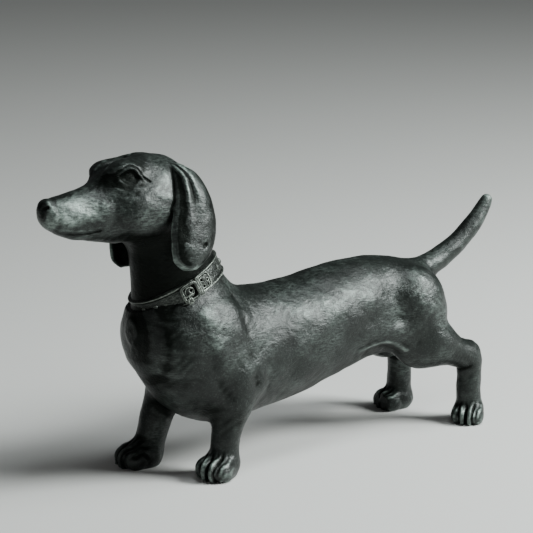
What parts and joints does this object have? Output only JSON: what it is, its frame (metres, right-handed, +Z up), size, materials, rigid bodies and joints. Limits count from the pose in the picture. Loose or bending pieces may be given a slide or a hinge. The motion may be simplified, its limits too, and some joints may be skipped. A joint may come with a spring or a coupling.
{
  "type": "dog figurine",
  "caption": "Standing long-bodied dog ornament with hanging ears, raised tail and a buckled collar, free-standing on flat paw soles",
  "frame": {"origin": "centre of the footprint box, on the surface the paws stand on", "axes": "+X from head to tail, +Z up, the dog's left side faces -Y"},
  "size_m": [0.254, 0.0604, 0.1471],
  "materials": {
    "casting": "dark green-black bronze-effect finish, semi-gloss, rubbed paler on raised areas",
    "eye": "darker and glossier than the body",
    "collar": "bronze-effect finish, darker in the tooling",
    "fittings": "bronze-effect finish, rubbed pale on the high points"
  },
  "bodies": {
    "root": {"torso_shell": "casting", "head_shell": "casting", "left_ear": "casting", "right_ear": "casting", "left_eye": "eye", "right_eye": "eye", "tail": "casting", "left_fore_leg": "casting", "right_fore_leg": "casting", "left_hind_leg": "casting", "right_hind_leg": "casting", "collar_strap": "collar", "buckle_frame": "fittings", "buckle_prong": "fittings", "keeper_loop": "fittings", "collar_tip": "collar", "collar_studs": "fittings"}
  },
  "joints": []
}
